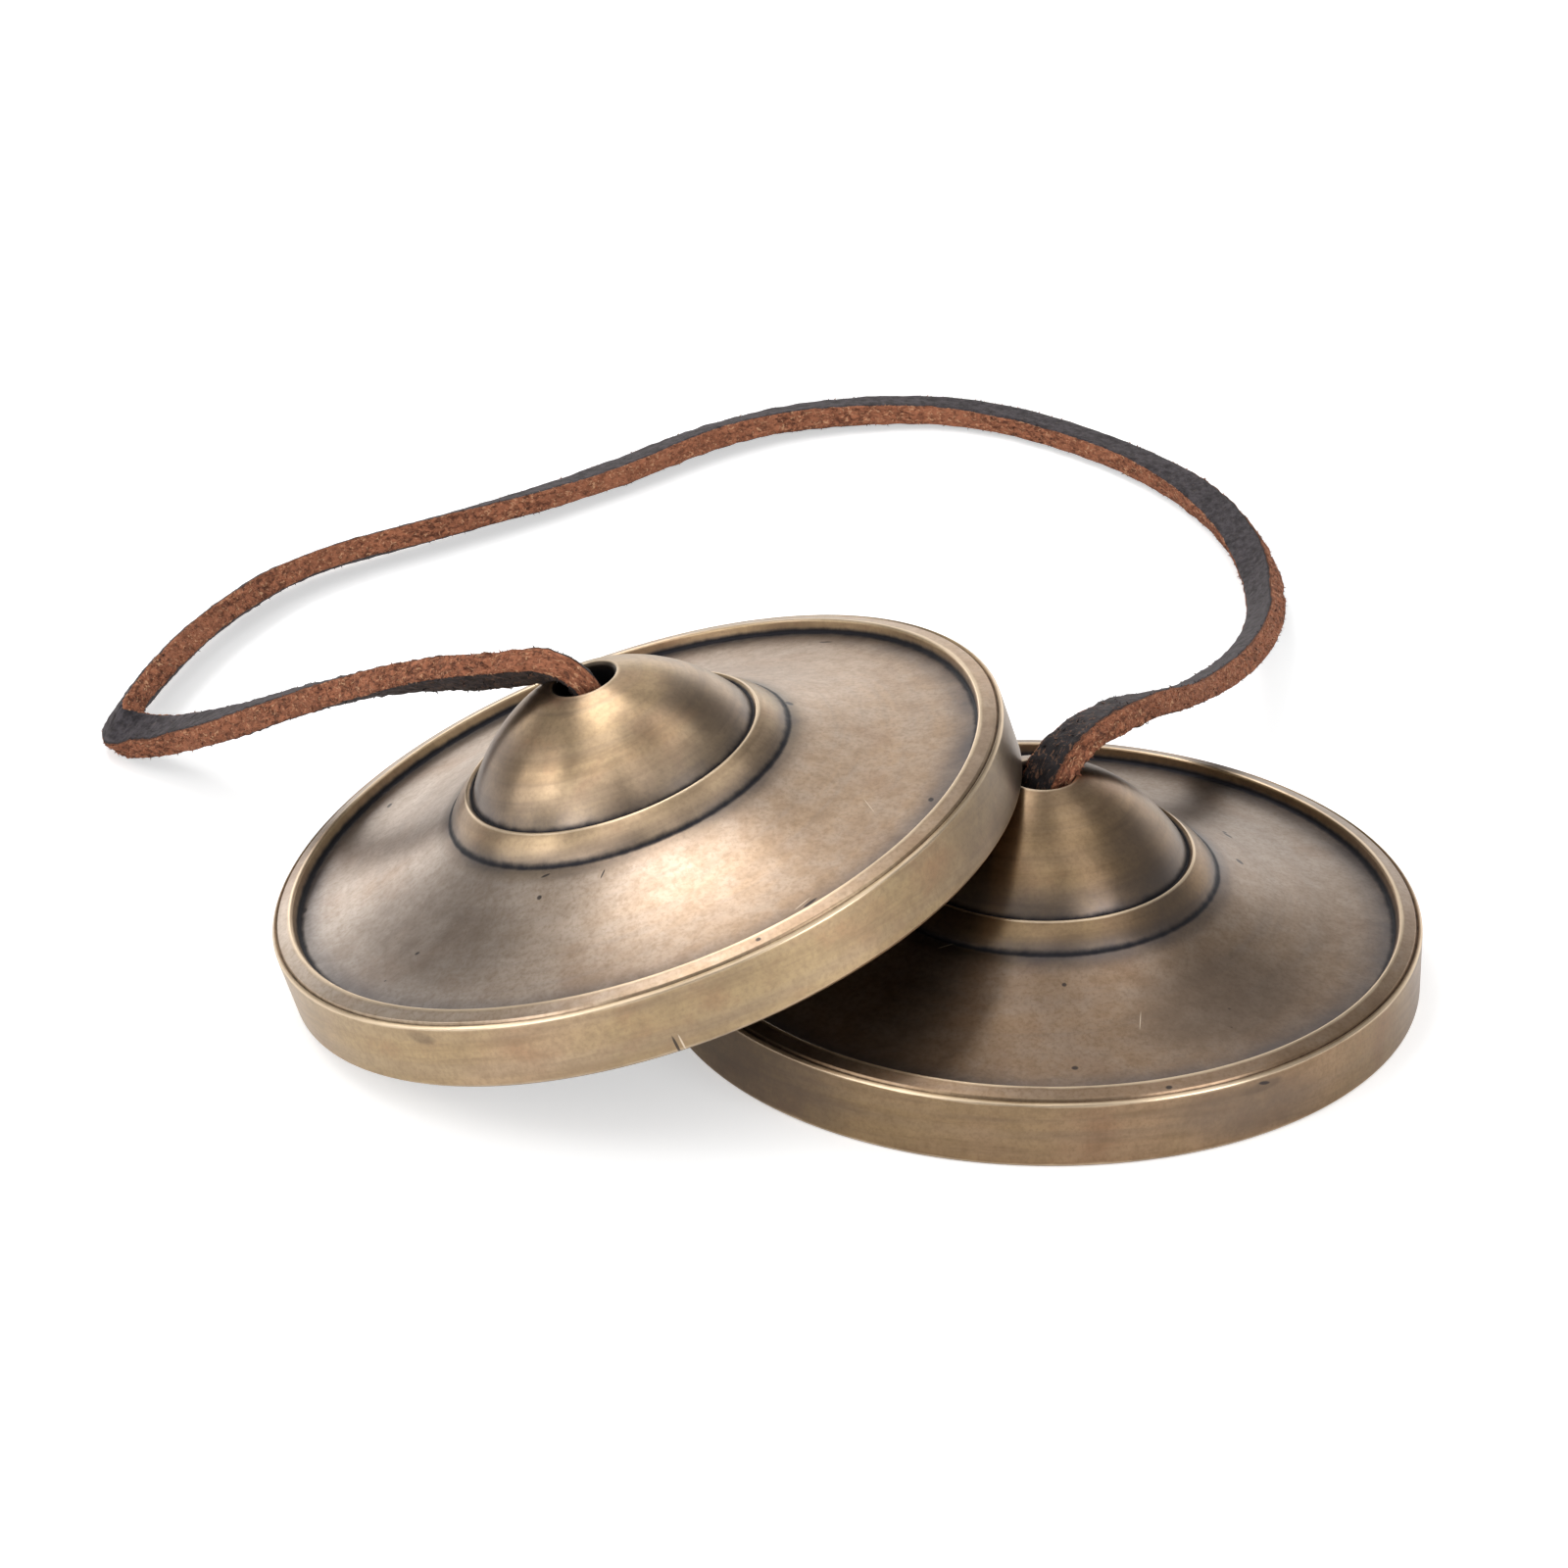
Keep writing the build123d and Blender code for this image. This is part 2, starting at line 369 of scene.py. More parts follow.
def section_mesh():
    """The section as a loop of edges, with its marks: groove dirt, painted shade, lighter edges, underside
    and film.
    """
    outline = eased(cymbal_corners())
    radius, height = outline.T
    past_hole = np.arange(len(outline)) > np.argmax(height)
    on_lip = between(radius, *FILM_ON_LIP) * (height > LIP_ABOVE)
    filmed = np.maximum(between(radius, *FILM_ON_BOW), LIP_FILM * on_lip) * ~past_hole
    mesh = bpy.data.meshes.new("cymbal_section")
    ring = [(i, (i + 1) % len(outline)) for i in range(len(outline))]
    mesh.from_pydata([(r * MM, z * MM, 0) for r, z in outline], ring, [])
    give_values(mesh, {
        "groove": strongest(outline, GROOVE_LINES),
        "shade": strongest(outline, PAINTED_GROOVE_SHADE),
        "rubbed_and_highlit": strongest(outline, RUBBED_AND_HIGHLIT_EDGES),
        "underside": past_hole & (radius < UNDERSIDE_R),
        "film": filmed,
    })
    return mesh


def turning_tree():
    """Turns a section round the upright axis and sets it down with a lean."""
    tree, link, given = new_tree("TurnedCymbal", "Cymbal", {
        "Section": ("Geometry", None),
        "Facets Round": ("Int", 128),
        "Rail Radius": ("Float", 0.01),
        "Foot Centre": ("Vector", None),
        "Lean": ("Vector", None),
        "Bronze": ("Material", None),
    })
    outline = then(tree, given["Section"], "GeometryNodeMeshToCurve")
    inset = then(tree, sums(tree, "MULTIPLY", given["Rail Radius"], -1.0), "ShaderNodeCombineXYZ")
    upright = then(tree, outline.outputs[0], "GeometryNodeTransform", inputs={"Scale": (1, -1, 1)})
    link(inset.outputs[0], upright.inputs["Translation"])
    rail = add_node(tree, "GeometryNodeCurvePrimitiveCircle", mode="RADIUS")
    link(given["Facets Round"], rail.inputs["Resolution"])
    link(given["Rail Radius"], rail.inputs["Radius"])
    outward = then(tree, rail.outputs[0], "GeometryNodeSetCurveNormal", mode="Z_UP")
    turned = then(tree, outward.outputs[0], "GeometryNodeCurveToMesh")
    link(upright.outputs[0], turned.inputs["Profile Curve"])
    keep = then(tree, turned.outputs[0], "GeometryNodeStoreNamedAttribute", data_type="FLOAT_VECTOR",
                domain="POINT", inputs={"Name": "lathe"})
    spot = add_node(tree, "GeometryNodeInputPosition")
    link(spot.outputs[0], keep.inputs["Value"])
    set_down = then(tree, keep.outputs[0], "GeometryNodeTransform")
    link(given["Foot Centre"], set_down.inputs["Translation"])
    link(given["Lean"], set_down.inputs["Rotation"])
    end_tree(tree, set_down.outputs[0], given["Bronze"])
    return tree


def unroll(mesh):
    """A UV map with the way round along U and the distance from the axis along V."""
    spots = np.zeros(len(mesh.vertices) * 3, np.float32)
    mesh.attributes["lathe"].data.foreach_get("vector", spots)
    spots = spots.reshape(-1, 3)
    way = np.arctan2(spots[:, 1], spots[:, 0]) / (2 * math.pi)
    reach = np.hypot(spots[:, 0], spots[:, 1]) / (CYMBAL_R * MM) + spots[:, 2] / (CYMBAL_R * MM)
    corner = np.zeros(len(mesh.loops), np.int32)
    mesh.loops.foreach_get("vertex_index", corner)
    u = way[corner].reshape(-1, 4)
    u = np.where(u.max(1, keepdims=True) - u > 0.5, u + 1, u).ravel()
    layer = mesh.uv_layers.new(name="UVMap")
    layer.data.foreach_set("uv", np.stack([u, reach[corner]], 1).astype(np.float32).ravel())


def make_cymbal(node, foot, lean, finish, tree):
    name = node + "_turned"
    mesh = run_tree(name, section_mesh(), tree, {
        "Facets Round": FACETS_ROUND, "Rail Radius": RAIL_RADIUS * MM,
        "Foot Centre": tuple(foot), "Lean": (0.0, -lean, 0.0), "Bronze": finish,
    })
    face_outwards(mesh)
    unroll(mesh)
    piece = place(name, mesh)
    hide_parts(node)
    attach(piece, node)


# Material helpers

def new_material(name):
    made = bpy.data.materials.new(name)
    made.use_nodes = True
    made.node_tree.nodes.clear()
    return made, made.node_tree, made.node_tree.links.new


def mixed(tree, factor, first, second):
    """A colour mix; each of its three inputs is a socket or a value."""
    made = add_node(tree, "ShaderNodeMix", data_type="RGBA")
    for slot, given in ((0, factor), (6, first), (7, second)):
        feed(tree, made.inputs[slot], (*given, 1.0) if isinstance(given, tuple) else given)
    return made.outputs[2]


def swing(tree, pattern, size, level):
    """A level moved up and down by a pattern about its middle."""
    return sums(tree, "MULTIPLY_ADD", sums(tree, "SUBTRACT", pattern, 0.5), size, level)


def spread(tree, value, low, high, to_low=0.0, to_high=1.0):
    """A value eased from one range to another."""
    made = then(tree, value, "ShaderNodeMapRange", interpolation_type="SMOOTHSTEP",
                inputs={1: low, 2: high, 3: to_low, 4: to_high})
    return made.outputs[0]


def layered(tree, colour, layers):
    """Colours laid on one by one: a pattern, where it sets in and is full, its strength and its colour."""
    for pattern, low, high, strength, tone in layers:
        colour = mixed(tree, spread(tree, pattern, low, high, 0.0, strength), colour, tone)
    return colour


def noise(tree, vector, scale, detail=3.0, rough=0.55, distort=0.0):
    made = add_node(tree, "ShaderNodeTexNoise",
                    inputs={"Scale": scale, "Detail": detail, "Roughness": rough, "Distortion": distort})
    tree.links.new(vector, made.inputs["Vector"])
    return made.outputs[0]


def vectors(tree, operation, first, second, slot=0):
    made = add_node(tree, "ShaderNodeVectorMath", operation=operation)
    for k, given in enumerate((first, second)):
        feed(tree, made.inputs[k], given)
    return made.outputs[slot]


def attribute(tree, name):
    return add_node(tree, "ShaderNodeAttribute", attribute_name=name)


def painted(tree, name):
    """One of the numbers that a piece's mesh carries at its points."""
    return attribute(tree, name).outputs["Fac"]


def surface(tree, colour, rough, relief, strength, depth, inputs):
    """Ends a material in a surface with this colour, roughness and relief."""
    link = tree.links.new
    bump = add_node(tree, "ShaderNodeBump", inputs={"Strength": strength, "Distance": depth * MM})
    link(relief, bump.inputs["Height"])
    skin = add_node(tree, "ShaderNodeBsdfPrincipled", inputs=inputs)
    link(colour, skin.inputs["Base Color"])
    link(rough, skin.inputs["Roughness"])
    link(bump.outputs[0], skin.inputs["Normal"])
    out = add_node(tree, "ShaderNodeOutputMaterial")
    link(skin.outputs[0], out.inputs[0])
    return skin


# Bronze

# Golden bare bronze, and the film on the bow: two tones of each, its stains and its streaks
GOLD_COLOURS = [(0.570, 0.398, 0.250), (0.510, 0.372, 0.208), (0.420, 0.238, 0.140), (0.300, 0.208, 0.130)]
FILM_COLOURS = [(0.500, 0.420, 0.355), (0.490, 0.335, 0.218), (0.370, 0.235, 0.152), (0.330, 0.275, 0.235)]

STAIN_AND_SHADE = (0.165, 0.125, 0.098)
PAINTED_SHADE = (0.105, 0.103, 0.114)
HOLLOW_DARK = (0.045, 0.038, 0.034)
GROOVE_DIRT = (0.028, 0.027, 0.031)
RUBBED_GOLD_AND_HIGHLIGHT = (0.860, 0.680, 0.480)
SMUDGED = (0.120, 0.088, 0.070)
PITTED = (0.045, 0.040, 0.042)
SCRATCHED = (0.85, 0.72, 0.56)

# How a mark fades from its middle, in squares of its half size: where it starts to, and where it ends
SCUFF_CORE = 0.35
STAIN_AND_SHADE_CORE = 0.0
MARK_END = 1.3
LEAST_MARK_DEPTH = 1.0

# Casting pits: cells to the metre, the pick above which a cell has one, and in cell sizes the largest
# pit and the softness of its edge
PIT_CELLS = 330.0
PITS_FROM = 0.84
LARGEST_PIT = 0.050
PIT_EDGE = 0.012
PIT_STRENGTH = 0.55

# How much a pattern changes along the lathe's rings: for the rings themselves, and for smeared streaks
ALONG_RINGS = (0.02, 0.02, 0.02)
ALONG_STREAKS = (0.10, 0.10, 0.10)

# Each cymbal's bronze, the lower one's tones set darker than the upper one's. `tan_side` is the way in which
# the film is rubbed thin, in degrees. A mark is an angle round the cymbal, a radius, a height, a length, a
# width and a turn from the way round.
LOWER_BRONZE = SimpleNamespace(
    seed=3.1,
    gold_tone=(0.65, 0.61, 0.575),
    film_tone=(0.81, 0.80, 0.79),
    tan_side=-75,
    dark_scuffs=[
        (31.3, 19.4, 7.86, 1.3, 0.4, 5), (33.5, 19.6, 7.80, 0.5, 0.4, 0),
        (12.6, 17.6, 8.61, 1.0, 0.5, 20), (-85.6, 17.7, 8.55, 0.45, 0.4, 0),
        (-85.8, 26.6, 5.87, 0.6, 0.5, 0), (-57.8, CYMBAL_R, 5.08, 1.2, 0.35, -14),
        (-72.7, 31.6, 6.20, 0.6, 0.4, 0), (150.0, 25.0, 6.1, 0.7, 0.4, 30),
    ],
    bright_scuffs=[
        (-122.8, 15.5, 9.80, 1.3, 0.14, 35), (-70.0, 22.0, 6.9, 2.2, 0.07, 65),
    ],
    # Stains, partly real and partly painted shade and darker reflections
    stains_and_shade=[
        (-30.0, 10.0, 14.4, 9.0, 9.0, 0), (-50.0, 22.5, 6.8, 20.0, 13.0, 0),
        (-138.0, CYMBAL_R, 3.0, 22.0, 10.0, 0), (-60.0, CYMBAL_R, 3.2, 18.0, 6.0, -8),
        (-40.0, 13.4, 11.6, 8.0, 4.0, 0),
    ],
    smudge=(-58.0, CYMBAL_R, 4.8, 4.0, 1.0, 6),
)
UPPER_BRONZE = SimpleNamespace(
    seed=7.4,
    gold_tone=(0.96, 0.96, 0.96),
    film_tone=(1.21, 1.22, 1.23),
    tan_side=-25,
    dark_scuffs=[
        (-85.5, CYMBAL_R, 0.75, 2.0, 0.26, 96), (-113.0, 15.7, 9.70, 0.9, 0.22, 18),
        (-94.4, 16.4, 9.31, 0.9, 0.16, 60), (-113.2, 17.6, 8.63, 0.5, 0.45, 0),
        (-25.4, 28.6, 5.60, 0.7, 0.5, 30), (-57.5, 28.6, 5.60, 1.6, 0.35, 8),
        (146.8, 27.3, 5.78, 0.8, 0.5, 20), (53.1, 28.3, 5.64, 1.4, 0.35, 10),
        (15.0, 15.5, 9.80, 0.9, 0.6, 20), (179.4, 29.8, 5.43, 1.0, 0.5, 0),
        (-69.0, 31.3, 6.30, 0.5, 0.4, 0), (-140.0, 24.0, 6.3, 0.5, 0.35, 40),
    ],
    bright_scuffs=[
        (-84.6, CYMBAL_R, 0.75, 1.9, 0.16, 96), (-58.6, 28.2, 5.66, 2.0, 0.10, 12),
        (-30.0, 24.0, 6.4, 2.4, 0.08, 50),
    ],
    # Stains, partly real and partly painted shade and darker reflections
    stains_and_shade=[
        (-161.0, 10.0, 14.5, 9.0, 9.0, 0), (-14.0, 8.9, 15.4, 9.0, 7.0, 0),
        (-144.0, 21.5, 7.0, 24.0, 15.0, 0), (-14.0, CYMBAL_R, 2.5, 30.0, 12.0, 0),
    ],
    smudge=(-123.6, CYMBAL_R, 4.9, 3.0, 1.2, -8),
)


def toned(colour, tone):
    return tuple(t * c for t, c in zip(tone, colour))


def scuff(tree, lathe, angle, radius, height, long, wide, turn, core=SCUFF_CORE):
    """1 on a mark of the given length and width, at a place on the cymbal; `turn` is from the way round."""
    a = math.radians(angle)
    t = math.radians(turn)
    here = np.array([radius * math.cos(a), radius * math.sin(a), height]) * MM
    round_way = np.array([-math.sin(a), math.cos(a), 0])
    on_wall = radius >= CYMBAL_R - 0.2
    inward = np.array([0, 0, 1.0]) if on_wall else np.array([-math.cos(a), -math.sin(a), 0])
    along = (round_way * math.cos(t) + inward * math.sin(t)) / (long / 2 * MM)
    across = (inward * math.cos(t) - round_way * math.sin(t)) / (wide / 2 * MM)
    through = np.cross(round_way, inward) / (max(LEAST_MARK_DEPTH, 0.6 * wide) * MM)
    off = vectors(tree, "SUBTRACT", lathe, tuple(here))
    far = 0.0
    for way in (along, across, through):
        reach = vectors(tree, "DOT_PRODUCT", off, tuple(way), 1)
        far = sums(tree, "MULTIPLY_ADD", reach, reach, far)
    return spread(tree, far, core, MARK_END, 1.0, 0.0)


def all_scuffs(tree, lathe, marks, core=SCUFF_CORE):
    total = None
    for mark in marks:
        one = scuff(tree, lathe, *mark, core)
        total = one if total is None else sums(tree, "MAXIMUM", total, one)
    return total


def lathe_patterns(tree, lathe, seed):
    """Uneven patterns on a turned piece: some drawn out along the lathe's rings, the others all over it."""
    spot = vectors(tree, "ADD", lathe, (seed, 0.37 * seed, 0.11 * seed))
    parts = then(tree, lathe, "ShaderNodeSeparateXYZ")
    flat = vectors(tree, "MULTIPLY", lathe, (1, 1, 0))
    radius = vectors(tree, "LENGTH", flat, (0, 0, 0), 1)
    ring = then(tree, radius, "ShaderNodeCombineXYZ", inputs={"Z": seed})
    tree.links.new(parts.outputs["Z"], ring.inputs["Y"])
    drawn = vectors(tree, "ADD", ring.outputs[0], vectors(tree, "MULTIPLY", spot, ALONG_RINGS))
    smeared = vectors(tree, "ADD", ring.outputs[0], vectors(tree, "MULTIPLY", spot, ALONG_STREAKS))
    return SimpleNamespace(
        spot=spot,
        rings=noise(tree, drawn, 2600, 3.0, 0.65),
        broad_rings=noise(tree, drawn, 420, 2.0, 0.5),
        streaks=noise(tree, smeared, 900, 4.0, 0.6),
        cloud=noise(tree, spot, 42, 4.0, 0.55, 0.9),
        stain=noise(tree, spot, 150, 6.0, 0.62, 0.4),
        mottle=noise(tree, spot, 430, 5.0, 0.60, 0.3),
        speckle=noise(tree, spot, 900, 3.0, 0.6),
        grain=noise(tree, spot, 2600, 3.0, 0.62),
    )


def plain_bronze(tree, lathe, pattern, cymbal):
    """Golden bronze, with a film over the bow and the lip that is rubbed thin on one side."""
    gold, olive, russet, umber = [toned(c, cymbal.gold_tone) for c in GOLD_COLOURS]
    pewter, tan, chestnut, drab = [toned(c, cymbal.film_tone) for c in FILM_COLOURS]
    side = math.radians(cymbal.tan_side)
    towards = vectors(tree, "DOT_PRODUCT", lathe, (math.cos(side), math.sin(side), 0.0), 1)
    thin_film = sums(tree, "MULTIPLY", spread(tree, towards, -12 * MM, 26 * MM),
                     spread(tree, pattern.mottle, 0.30, 0.66, 0.65, 1.0))
    golden = layered(tree, gold, [
        (pattern.cloud, 0.36, 0.64, 1.0, olive),
        (pattern.stain, 0.50, 0.72, 0.60, russet),
        (pattern.streaks, 0.42, 0.72, 0.60, umber),
    ])
    filmed = layered(tree, mixed(tree, thin_film, pewter, tan), [
        (pattern.stain, 0.46, 0.72, 0.50, chestnut),
        (pattern.streaks, 0.48, 0.76, 0.30, drab),
    ])
    return layered(tree, mixed(tree, painted(tree, "film"), golden, filmed), [
        (pattern.broad_rings, 0.35, 0.70, 0.18, drab),
        (pattern.mottle, 0.38, 0.72, 0.24, umber),
        (pattern.speckle, 0.40, 0.74, 0.26, umber),
        (pattern.grain, 0.40, 0.72, 0.38, umber),
    ])


def pits_and_scuffs(tree, lathe, pattern, dark_scuffs):
    """How far a place is a small pit of the casting or a dark scuff."""
    cells = then(tree, pattern.spot, "ShaderNodeTexVoronoi", inputs={"Scale": PIT_CELLS, "Randomness": 1.0})
    pick = then(tree, cells.outputs["Color"], "ShaderNodeSeparateColor")
    size = spread(tree, pick.outputs[0], PITS_FROM, 1.0, 0.0, LARGEST_PIT)
    inside = sums(tree, "SUBTRACT", size, cells.outputs["Distance"])
    pits = sums(tree, "MULTIPLY", spread(tree, inside, -PIT_EDGE, PIT_EDGE), PIT_STRENGTH)
    return sums(tree, "MAXIMUM", pits, all_scuffs(tree, lathe, dark_scuffs))


def aged_with_painted_light(tree, lathe, pattern, cymbal, colour, dirt, scuffs):
    """The bronze's colour under stains, painted shade, a dark underside, dirt, rubbed edges with painted
    highlights, a smudge, pits and scratches.
    """
    # Stains, partly painted shade and darker reflections
    stain_and_shade_mix = sums(tree, "MULTIPLY", all_scuffs(tree, lathe, cymbal.stains_and_shade, STAIN_AND_SHADE_CORE),
                   spread(tree, pattern.mottle, 0.25, 0.70, 0.52, 0.70))
    # Painted shade beside the grooves, partly a dark patina, in a bluish dark
    groove_shade = sums(tree, "MULTIPLY", painted(tree, "shade"),
                  spread(tree, pattern.stain, 0.30, 0.70, 0.60, 0.95))
    # The underside painted near black: partly a dark patina, partly painted shade
    hollow = sums(tree, "MULTIPLY", painted(tree, "underside"), 0.88)
    # Edges painted lighter: partly rubbed wear, partly painted highlights
    rubbed_and_highlit = spread(tree, swing(tree, pattern.stain, 0.9, painted(tree, "rubbed_and_highlit")), 0.30, 0.95, 0.0, 0.85)
    smudged = sums(tree, "MULTIPLY", scuff(tree, lathe, *cymbal.smudge),
                   spread(tree, pattern.stain, 0.35, 0.65, 0.15, 0.60))
    pitted = sums(tree, "MULTIPLY", scuffs, 0.85)
    scratched = sums(tree, "MULTIPLY", all_scuffs(tree, lathe, cymbal.bright_scuffs), 0.8)
    colour = mixed(tree, stain_and_shade_mix, colour, STAIN_AND_SHADE)
    colour = mixed(tree, groove_shade, colour, PAINTED_SHADE)
    colour = mixed(tree, hollow, colour, HOLLOW_DARK)
    colour = mixed(tree, dirt, colour, GROOVE_DIRT)
    colour = mixed(tree, rubbed_and_highlit, colour, RUBBED_GOLD_AND_HIGHLIGHT)
    colour = mixed(tree, smudged, colour, SMUDGED)
    colour = mixed(tree, pitted, colour, PITTED)
    return mixed(tree, scratched, colour, SCRATCHED)


def bronze(name, cymbal):
    """Satin turned bronze: golden where handled, a film on the bow, dark grooves, bright edges, scuffs."""
    made, tree, link = new_material(name)
    lathe = attribute(tree, "lathe").outputs["Vector"]
    pattern = lathe_patterns(tree, lathe, cymbal.seed)
    dirt = spread(tree, swing(tree, pattern.speckle, 0.50, painted(tree, "groove")), 0.15, 0.95)
    scuffs = pits_and_scuffs(tree, lathe, pattern, cymbal.dark_scuffs)
    colour = plain_bronze(tree, lathe, pattern, cymbal)
    colour = aged_with_painted_light(tree, lathe, pattern, cymbal, colour, dirt, scuffs)

    rough = sums(tree, "MULTIPLY_ADD", pattern.cloud, 0.12, 0.26)
    rough = sums(tree, "MULTIPLY_ADD", painted(tree, "film"), 0.05, rough)
    rough = swing(tree, pattern.rings, 0.10, rough)
    rough = sums(tree, "MULTIPLY_ADD", dirt, 0.22, rough)
    rough = sums(tree, "MULTIPLY_ADD", painted(tree, "underside"), 0.12, rough, clamp=True)

    relief = sums(tree, "MULTIPLY_ADD", pattern.rings, 0.6, sums(tree, "MULTIPLY", pattern.grain, 0.45))
    relief = sums(tree, "MULTIPLY_ADD", scuffs, -1.2, relief)
    shine = surface(tree, colour, rough, relief, 0.30, 0.02, {
        "Metallic": 1.0, "Anisotropic": 0.55, "Anisotropic Rotation": 0.25,
    })
    along = add_node(tree, "ShaderNodeTangent", direction_type="UV_MAP", uv_map="UVMap")
    link(along.outputs[0], shine.inputs["Tangent"])
    return made


# Leather

SUEDE_SHADOW = (0.085, 0.030, 0.018)
SUEDE_NAP = (0.445, 0.170, 0.090)
SUEDE_TUFTS = (0.170, 0.062, 0.034)
SUEDE_BANDS = (0.405, 0.158, 0.085)
SUEDE_FLECKS = (0.660, 0.370, 0.210)
SUEDE_HOLES = (0.040, 0.020, 0.015)
DYE_SHADOW = (0.018, 0.016, 0.019)
DYE_GRAIN = (0.070, 0.062, 0.070)
DYE_FLECKS = (0.135, 0.105, 0.092)
DYE_HANDLED_AND_SHADED = (0.012, 0.011, 0.012)
DYE_CRUMBS = (0.200, 0.105, 0.065)
SUEDE_SHEEN = (0.80, 0.60, 0.50, 1.0)


def lace_leather(name):
    """Split leather lace: dyed charcoal faces and cut brown suede edges."""
    made, tree, link = new_material(name)
    lay = attribute(tree, "lace").outputs["Vector"]
    handled_and_shaded = painted(tree, "blackened")
    nap = noise(tree, vectors(tree, "MULTIPLY", lay, (0.55, 1.0, 1.0)), 2600, 5.0, 0.68, 0.6)
    tufts = noise(tree, lay, 950, 4.0, 0.62, 0.5)
    bands = noise(tree, lay, 130, 3.0, 0.5)
    grain = noise(tree, lay, 1500, 4.0, 0.62)
    flecks = noise(tree, vectors(tree, "MULTIPLY", lay, (0.7, 1.0, 1.0)), 2700, 3.0, 0.55, 1.2)
    cut = painted(tree, "cut_edge")
    for uneven, size in ((bands, 0.7), (tufts, 0.9), (flecks, 0.9)):
        cut = swing(tree, uneven, size, cut)
    edge = spread(tree, cut, 0.38, 0.62)

    suede = layered(tree, SUEDE_SHADOW, [
        (nap, 0.34, 0.62, 1.0, SUEDE_NAP),
        (tufts, 0.42, 0.70, 0.45, SUEDE_TUFTS),
        (bands, 0.42, 0.62, 0.40, SUEDE_BANDS),
        (flecks, 0.56, 0.70, 0.85, SUEDE_FLECKS),
        (flecks, 0.44, 0.30, 0.70, SUEDE_HOLES),
    ])
    dyed = layered(tree, DYE_SHADOW, [
        (grain, 0.32, 0.68, 1.0, DYE_GRAIN),
        (flecks, 0.60, 0.72, 0.50, DYE_FLECKS),
    ])
    # Near the ends the dyed faces are blackened: handling dirt, and by the upper hole also painted shade
    dyed = mixed(tree, sums(tree, "MULTIPLY", handled_and_shaded, 0.75), dyed, DYE_HANDLED_AND_SHADED)
    crumbs = sums(tree, "MULTIPLY", handled_and_shaded, spread(tree, flecks, 0.54, 0.66, 0.0, 0.8))
    dyed = mixed(tree, crumbs, dyed, DYE_CRUMBS)
    colour = mixed(tree, edge, dyed, suede)

    rough = sums(tree, "MULTIPLY_ADD", edge, 0.26, 0.66)
    relief = then(tree, edge, "ShaderNodeMix", data_type="FLOAT")
    link(sums(tree, "MULTIPLY_ADD", flecks, 0.35, sums(tree, "MULTIPLY", grain, 0.70)), relief.inputs[2])
    link(sums(tree, "MULTIPLY_ADD", tufts, 0.6, sums(tree, "ADD", nap, flecks)), relief.inputs[3])
    surface(tree, colour, rough, relief.outputs[0], 0.85, 0.20, {
        "Sheen Weight": 0.06, "Sheen Roughness": 0.6, "Sheen Tint": SUEDE_SHEEN, "Specular IOR Level": 0.15,
    })
    return made


# Lace

# The thong's way, as in the part's source, with more points where it is folded: from the upper knot
# over the table to the lower knot. Right and back are from the lower cymbal's axis and up from the
# table. Then come how far its left-hand edge is turned up, in degrees, its width and its thickness.
THONG_LAY = [
    (-46.36, 4.80, 26.40, 37, 3.85, 2.10),
    (-51.96, 11.75, 22.70, 27, 3.90, 2.25),
    (-57.86, 18.20, 18.55, 11, 3.90, 2.25),
    (-64.01, 24.85, 13.70, -1, 3.90, 2.30),
    (-70.36, 31.60, 8.20, -6, 3.90, 2.35),
    (-75.96, 36.90, 4.20, -10, 3.90, 2.30),
    (-79.96, 39.40, 2.60, -16, 3.90, 2.20),
    (-82.26, 41.30, 2.40, -56, 3.80, 2.20),
    (-81.96, 44.60, 2.55, -56, 3.80, 2.25),
    (-80.26, 51.00, 2.57, -53, 3.80, 2.30),
    (-76.56, 62.50, 2.45, -45, 3.80, 2.30),
    (-68.86, 76.50, 2.18, -34, 3.80, 2.20),
    (-54.66, 86.00, 2.03, -27, 3.80, 2.20),
    (-40.56, 96.60, 1.73, -15, 3.80, 2.00),
    (-28.56, 108.50, 1.88, -20, 3.80, 2.10),
    (-16.66, 114.70, 1.58, -11, 3.70, 2.10),
    (-1.50, 115.35, 1.33, -3, 3.50, 1.90),
    (13.74, 103.30, 1.33, -4, 3.30, 1.85),
    (22.19, 88.20, 1.73, 20, 3.10, 1.85),
    (24.69, 68.20, 2.33, 47, 3.30, 2.05),
    (20.79, 46.20, 7.25, 33, 3.50, 2.15),
    (13.54, 26.00, 13.15, 23, 3.60, 2.05),
    (7.90, 11.51, 19.80, 16, 3.80, 2.25),
]
MOUTH_CORNER = CYMBAL_HEIGHT + 1.8
LOWER_MOUTH_ASIDE = (0.60, 0.15)
KNOT_ASIDE = 0.4
THONG_STEPS = 32
THONG_SEED = 11
STEEP_RUN = 0.55

# How black the lace is, from handling and, near the upper end, also as painted shade on its underside by
# the upper hole: at its upper end, how far from each end, and in the knots. At its lower end it is fully
# black.
UPPER_BLACK = 0.85
UPPER_BLACK_REACH = 25.0
LOWER_BLACK_REACH = 15.0
KNOT_BLACK = 0.35

